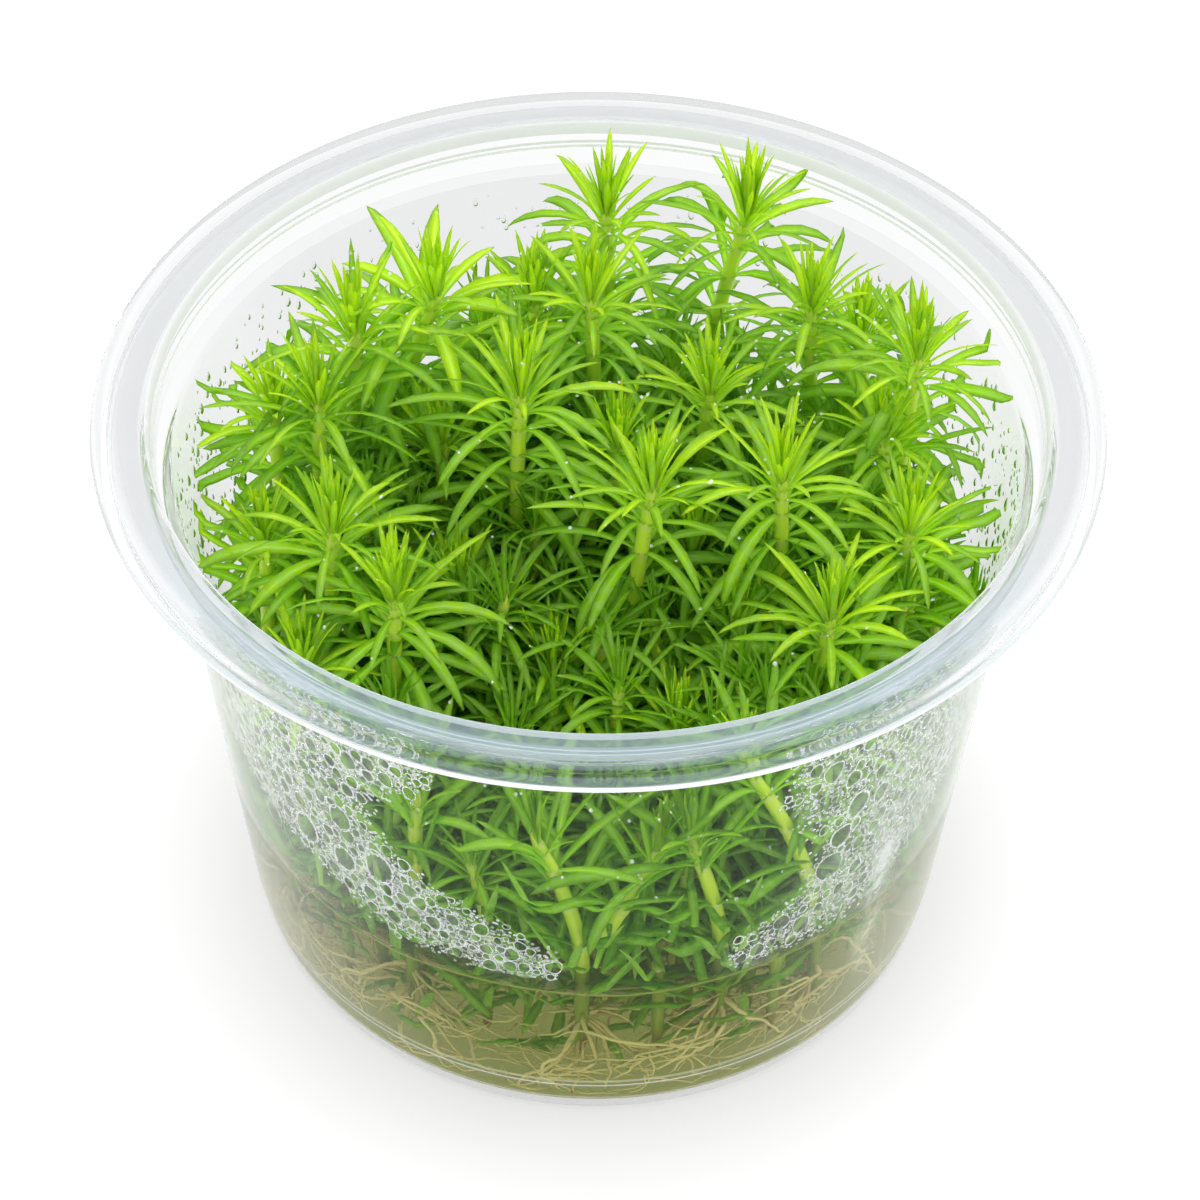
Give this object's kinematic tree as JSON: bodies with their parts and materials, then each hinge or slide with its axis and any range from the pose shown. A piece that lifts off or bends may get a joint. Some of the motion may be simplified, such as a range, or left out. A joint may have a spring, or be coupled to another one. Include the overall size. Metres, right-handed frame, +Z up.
{
  "type": "limnophila in a culture tub",
  "caption": "Aquatic plant with whorls of narrow leaves, growing as a dense clump of shoots from clear gel in an open, tapered, see-through tub.",
  "frame": {"origin": "centre of the tub's underside, on the surface it stands on", "axes": "+Z up the tub's axis, -Y towards the side the picture shows, +X to its right"},
  "size_m": [0.1, 0.1, 0.0757],
  "materials": {
    "clear_plastic": "gloss",
    "culture_gel": "gloss",
    "foliage": "satin"
  },
  "bodies": {
    "root": {"tub": "clear_plastic", "gel": "culture_gel", "shoot_back_middle": "foliage", "shoot_back_right": "foliage", "shoot_right_back": "foliage", "shoot_centre_left": "foliage", "shoot_centre": "foliage", "shoot_centre_right": "foliage", "shoot_front_right": "foliage", "shoot_front_left": "foliage", "shoot_left_front": "foliage", "shoot_left": "foliage", "shoot_back_left": "foliage", "shoot_left_back": "foliage", "shoot_mid_right": "foliage", "shoot_mid_back": "foliage", "shoot_right": "foliage", "shoot_mid_left": "foliage", "shoot_low_01": "foliage", "shoot_low_02": "foliage", "shoot_low_03": "foliage", "shoot_low_04": "foliage", "shoot_low_05": "foliage", "shoot_low_06": "foliage", "shoot_low_07": "foliage", "shoot_low_08": "foliage", "shoot_low_09": "foliage", "shoot_low_10": "foliage", "shoot_low_11": "foliage", "shoot_low_12": "foliage", "shoot_low_13": "foliage", "shoot_wall_middle": "foliage", "shoot_wall_branch": "foliage", "shoot_wall_right": "foliage", "shoot_wall_far_right": "foliage", "shoot_wall_left": "foliage"}
  },
  "joints": []
}
